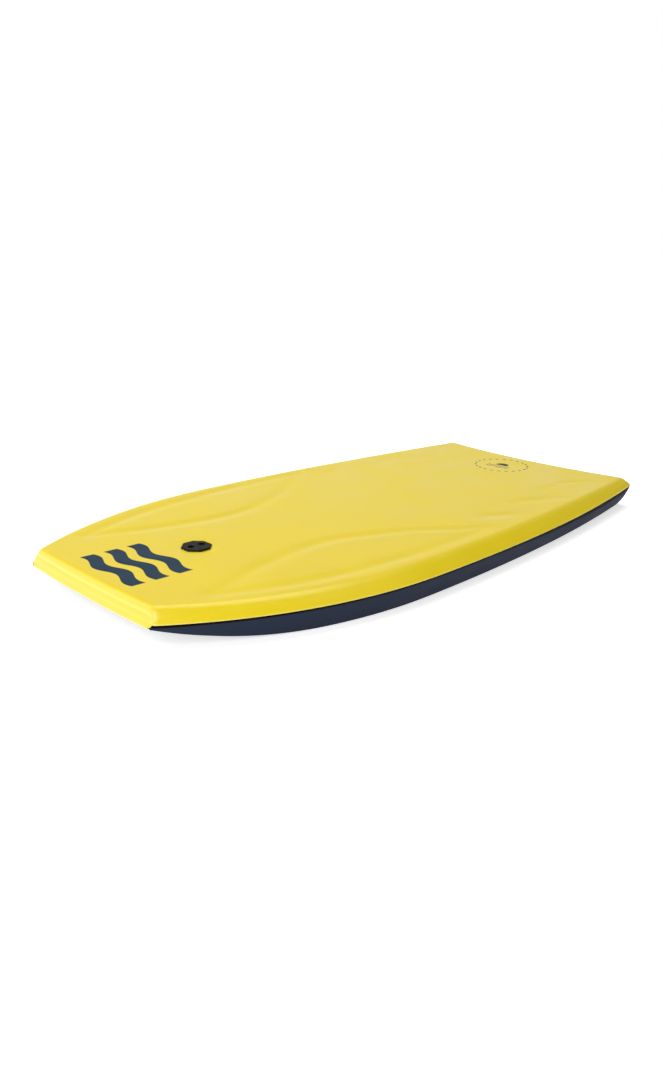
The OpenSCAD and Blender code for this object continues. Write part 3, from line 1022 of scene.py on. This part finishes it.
def make_floor():
    mesh = bpy.data.meshes.new("floor")
    h = FLOOR / 2
    mesh.from_pydata([(-h, -h, 0), (h, -h, 0), (h, h, 0), (-h, h, 0)], [], [(0, 1, 2, 3)])
    obj = bpy.data.objects.new("floor", mesh)
    bpy.context.scene.collection.objects.link(obj)
    mat, tree, shader = new_material("floor_paper")
    coords = add_node(tree, "ShaderNodeTexCoord").outputs["Object"]
    base = mix_colour(tree, noise(tree, coords, 3.0), (0.9, 0.9, 0.9), (0.92, 0.92, 0.92))
    link(tree, base, shader.inputs["Base Color"])
    shader.inputs["Roughness"].default_value = 0.9
    shader.inputs["Specular IOR Level"].default_value = 0.1
    shader.inputs["Emission Color"].default_value = (1, 1, 1, 1)
    distance = add_node(tree, "ShaderNodeVectorMath", operation="LENGTH")
    link(tree, coords, distance.inputs[0])
    glow = ramp(tree, distance.outputs["Value"], *GLOW_REACH, *FLOOR_GLOW)
    link(tree, glow, shader.inputs["Emission Strength"])
    mesh.materials.append(mat)


def area_light(name, place, aim, size, power):
    data = bpy.data.lights.new(name, "AREA")
    data.shape = "RECTANGLE"
    data.size, data.size_y = size
    data.energy = power
    obj = bpy.data.objects.new(name, data)
    obj.location = place
    obj.rotation_euler = (Vector(aim) - Vector(place)).to_track_quat("-Z", "Y").to_euler()
    bpy.context.scene.collection.objects.link(obj)


# The sky by direction: from a value of 1 it falls to the last number between the first two
SKY_HEIGHT, SKY_SIDE, SKY_REAR = (0.22, 0.40, 0.14), (-0.36, 0.4, 0.45), (0.28, 0.8, 0.3)
# Unit vector to the rear quarter on the camera's side, and the brightness from under the floor
REAR_QUARTER, BELOW = (0.7, 0.714), 0.4
# Name, place, aim, size and power of each lamp
LAMPS = (
    ("key", (0.7, -2.1, 1.3), (0, -0.2, 0.05), (1.6, 1.0), 22.5),
    ("window", (-1.5, -1.2, 1.45), (0, -0.5, 0.05), (0.8, 0.8), 5),
    ("overhead", (-0.5, 0.2, 2.6), (-0.1, 0.1, 0), (2.4, 2.4), 55.5),
)


def make_light():
    world = bpy.data.worlds.new("studio")
    world.use_nodes = True
    tree = world.node_tree
    split = add_node(tree, "ShaderNodeSeparateXYZ")
    link(tree, add_node(tree, "ShaderNodeTexCoord").outputs["Generated"], split.inputs[0])
    x, y, z = split.outputs
    rearward = math_node(
        tree, "ADD", math_node(tree, "MULTIPLY", x, REAR_QUARTER[0]),
        math_node(tree, "MULTIPLY", y, REAR_QUARTER[1]))
    strength = ramp(tree, z, -0.08, 0.0, BELOW, 1.0)
    for value, (low, high, dim) in ((z, SKY_HEIGHT), (x, SKY_SIDE), (rearward, SKY_REAR)):
        strength = math_node(tree, "MULTIPLY", strength, ramp(tree, value, low, high, 1.0, dim))
    # The backdrop itself is plain white
    seen = add_node(tree, "ShaderNodeLightPath").outputs["Is Camera Ray"]
    strength = math_node(tree, "MAXIMUM", strength, seen)
    link(tree, strength, tree.nodes["Background"].inputs["Strength"])
    tree.nodes["Background"].inputs["Color"].default_value = (1, 1, 1, 1)
    bpy.context.scene.world = world
    for lamp in LAMPS:
        area_light(*lamp)


# Place of the camera, the directions behind it and to its right, and its lens on a 36 mm frame
CAMERA_PLACE = (0.9973, -1.0670, 0.4835)
CAMERA_BACK = (0.66945, -0.66994, 0.32096)
CAMERA_RIGHT = (0.70251, 0.71140, 0.01962)
CAMERA_LENS = 29.07


def make_camera():
    back = Vector(CAMERA_BACK).normalized()
    right = Vector(CAMERA_RIGHT)
    right = (right - back * right.dot(back)).normalized()
    up = back.cross(right)
    data = bpy.data.cameras.new("camera")
    data.sensor_fit = "VERTICAL"
    data.sensor_height = 36.0
    data.lens = CAMERA_LENS
    obj = bpy.data.objects.new("camera", data)
    obj.matrix_world = Matrix((
        (right.x, up.x, back.x, CAMERA_PLACE[0]),
        (right.y, up.y, back.y, CAMERA_PLACE[1]),
        (right.z, up.z, back.z, CAMERA_PLACE[2]),
        (0, 0, 0, 1),
    ))
    bpy.context.scene.collection.objects.link(obj)
    bpy.context.scene.camera = obj


make_floor()
make_light()
make_camera()
bpy.context.scene.view_settings.view_transform = "Standard"
